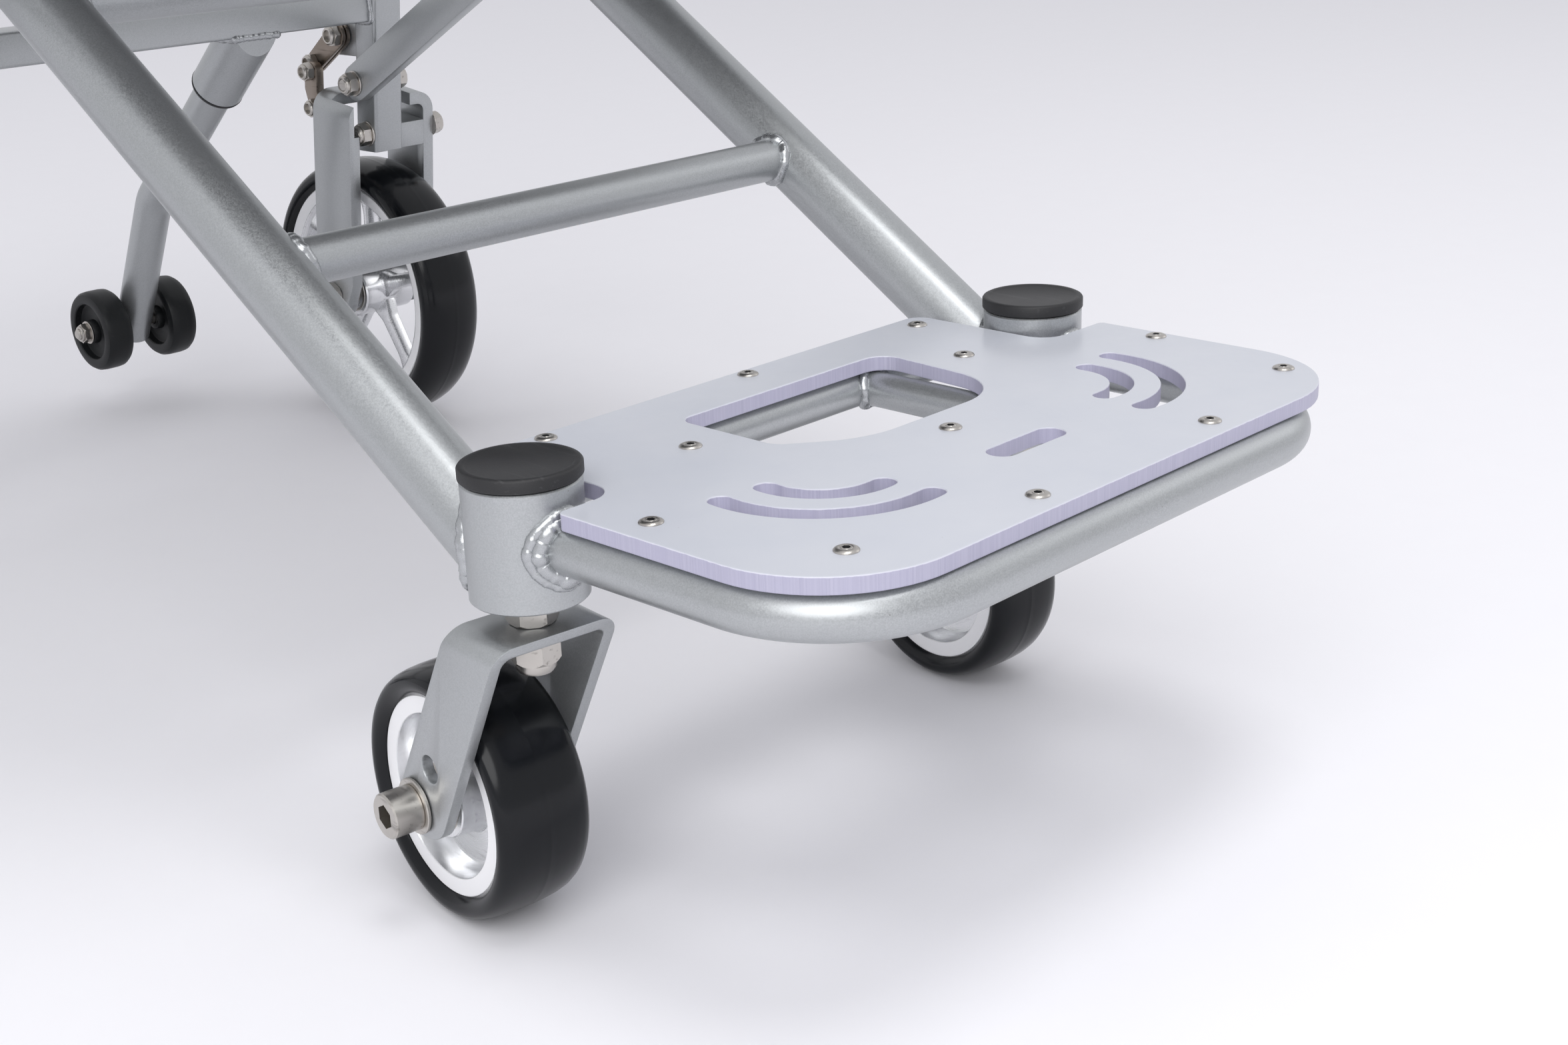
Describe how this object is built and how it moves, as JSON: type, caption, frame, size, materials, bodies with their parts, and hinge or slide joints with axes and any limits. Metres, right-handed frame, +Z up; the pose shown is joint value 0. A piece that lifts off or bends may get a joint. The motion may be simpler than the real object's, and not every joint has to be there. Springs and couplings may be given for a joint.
{
  "type": "push chair frame on small wheels",
  "caption": "Welded tube chair frame with a footplate, front casters, hinged rear wheels, anti-tip legs, sling seat and back.",
  "frame": {"origin": "on the floor, below the middle of the chair's box", "axes": "+Z up, -Y the way the sitter faces, +X to the sitter's left"},
  "size_m": [0.5836, 0.982, 0.9466],
  "materials": {
    "silver_paint": "satin metallic silver powder coat with fine sparkle",
    "milky_plate": "milky translucent polycarbonate with sawn edges",
    "tyre_black": "semi-gloss black polyurethane",
    "small_wheel_black": "matt black rubber on a black hub",
    "cap_black": "matt black moulded plastic",
    "grip_black": "soft matt black grip",
    "polished_alloy": "turned and polished",
    "nickel_steel": "bright nickel-toned stainless",
    "brown_steel": "brownish bare steel",
    "sling_cloth": "black woven nylon"
  },
  "bodies": {
    "frame": {"antitip_sleeve_left": "silver_paint", "antitip_sleeve_right": "silver_paint", "back_sling": "sling_cloth", "footplate": "milky_plate", "footrest_loop": "silver_paint", "footrest_rear_tube": "silver_paint", "footrest_stay_left": "silver_paint", "footrest_stay_right": "silver_paint", "front_cross_tube": "silver_paint", "front_upright_left": "silver_paint", "front_upright_right": "silver_paint", "head_tube_left": "silver_paint", "head_tube_right": "silver_paint", "hinge_bolt_left": "nickel_steel", "hinge_bolt_right": "nickel_steel", "main_tube_left": "silver_paint", "main_tube_right": "silver_paint", "middle_cross_tube": "silver_paint", "push_grip_left": "grip_black", "push_grip_right": "grip_black", "rear_cross_rail": "silver_paint", "rear_post_left": "silver_paint", "rear_post_right": "silver_paint", "seat_frame": "silver_paint", "seat_sling": "sling_cloth", "side_strut_left": "silver_paint", "side_strut_right": "silver_paint", "stem_bearing_left": "nickel_steel", "stem_bearing_right": "nickel_steel", "stem_cap_left": "cap_black", "stem_cap_right": "cap_black"},
    "caster_right": {"caster_fork_right": "silver_paint", "caster_stem_bolt_right": "nickel_steel", "caster_axle_bolt_right": "nickel_steel"},
    "caster_wheel_right": {"caster_tyre_right": "tyre_black", "caster_rim_right": "polished_alloy", "caster_bearing_right": "nickel_steel"},
    "rear_fork_right": {"rear_fork_right": "silver_paint", "rear_axle_bolt_right": "nickel_steel"},
    "rear_wheel_right": {"rear_tyre_right": "tyre_black", "rear_rim_right": "polished_alloy"},
    "catch_lever_right": {"catch_lever_right": "brown_steel"},
    "antitip_right": {"antitip_tube_right": "silver_paint"},
    "antitip_wheel_right_inner": {"antitip_wheel_right_inner": "small_wheel_black"},
    "antitip_wheel_right_outer": {"antitip_wheel_right_outer": "small_wheel_black"},
    "caster_left": {"caster_fork_left": "silver_paint", "caster_stem_bolt_left": "nickel_steel", "caster_axle_bolt_left": "nickel_steel"},
    "caster_wheel_left": {"caster_tyre_left": "tyre_black", "caster_rim_left": "polished_alloy", "caster_bearing_left": "nickel_steel"},
    "rear_fork_left": {"rear_fork_left": "silver_paint", "rear_axle_bolt_left": "nickel_steel"},
    "rear_wheel_left": {"rear_tyre_left": "tyre_black", "rear_rim_left": "polished_alloy"},
    "catch_lever_left": {"catch_lever_left": "brown_steel"},
    "antitip_left": {"antitip_tube_left": "silver_paint"},
    "antitip_wheel_left_inner": {"antitip_wheel_left_inner": "small_wheel_black"},
    "antitip_wheel_left_outer": {"antitip_wheel_left_outer": "small_wheel_black"}
  },
  "joints": [
    {"name": "caster_swivel_right", "type": "hinge", "parent": "frame", "child": "caster_right", "pos_m": [-0.146, -0.332, 0.14], "axis": [0, 0, 1], "continuous": true},
    {"name": "caster_roll_right", "type": "hinge", "parent": "caster_right", "child": "caster_wheel_right", "pos_m": [-0.14001, -0.28236, 0.0508], "axis": [0.9928, -0.1197, 0], "continuous": true},
    {"name": "rear_fork_fold_right", "type": "hinge", "parent": "frame", "child": "rear_fork_right", "pos_m": [-0.248, 0.277, 0.199], "axis": [-1, 0, 0], "range_deg": [0, 75]},
    {"name": "rear_roll_right", "type": "hinge", "parent": "rear_fork_right", "child": "rear_wheel_right", "pos_m": [-0.248, 0.308, 0.089], "axis": [1, 0, 0], "continuous": true},
    {"name": "catch_release_right", "type": "hinge", "parent": "frame", "child": "catch_lever_right", "pos_m": [-0.233, 0.298, 0.262], "axis": [1, 0, 0], "range_deg": [0, 30]},
    {"name": "antitip_slide_right", "type": "slide", "parent": "frame", "child": "antitip_right", "axis": [0, 0.7641, -0.6451], "range_m": [0, 0.02]},
    {"name": "antitip_roll_right_inner", "type": "hinge", "parent": "antitip_right", "child": "antitip_wheel_right_inner", "pos_m": [-0.121, 0.463, 0.0613], "axis": [1, 0, 0], "continuous": true},
    {"name": "antitip_roll_right_outer", "type": "hinge", "parent": "antitip_right", "child": "antitip_wheel_right_outer", "pos_m": [-0.171, 0.463, 0.0613], "axis": [1, 0, 0], "continuous": true},
    {"name": "caster_swivel_left", "type": "hinge", "parent": "frame", "child": "caster_left", "pos_m": [0.146, -0.332, 0.14], "axis": [0, 0, 1], "continuous": true},
    {"name": "caster_roll_left", "type": "hinge", "parent": "caster_left", "child": "caster_wheel_left", "pos_m": [0.15199, -0.28236, 0.0508], "axis": [0.9928, -0.1197, 0], "continuous": true},
    {"name": "rear_fork_fold_left", "type": "hinge", "parent": "frame", "child": "rear_fork_left", "pos_m": [0.248, 0.277, 0.199], "axis": [-1, 0, 0], "range_deg": [0, 75]},
    {"name": "rear_roll_left", "type": "hinge", "parent": "rear_fork_left", "child": "rear_wheel_left", "pos_m": [0.248, 0.308, 0.089], "axis": [1, 0, 0], "continuous": true},
    {"name": "catch_release_left", "type": "hinge", "parent": "frame", "child": "catch_lever_left", "pos_m": [0.233, 0.298, 0.262], "axis": [1, 0, 0], "range_deg": [0, 30]},
    {"name": "antitip_slide_left", "type": "slide", "parent": "frame", "child": "antitip_left", "axis": [0, 0.7641, -0.6451], "range_m": [0, 0.02]},
    {"name": "antitip_roll_left_inner", "type": "hinge", "parent": "antitip_left", "child": "antitip_wheel_left_inner", "pos_m": [0.121, 0.463, 0.0613], "axis": [1, 0, 0], "continuous": true},
    {"name": "antitip_roll_left_outer", "type": "hinge", "parent": "antitip_left", "child": "antitip_wheel_left_outer", "pos_m": [0.171, 0.463, 0.0613], "axis": [1, 0, 0], "continuous": true}
  ]
}
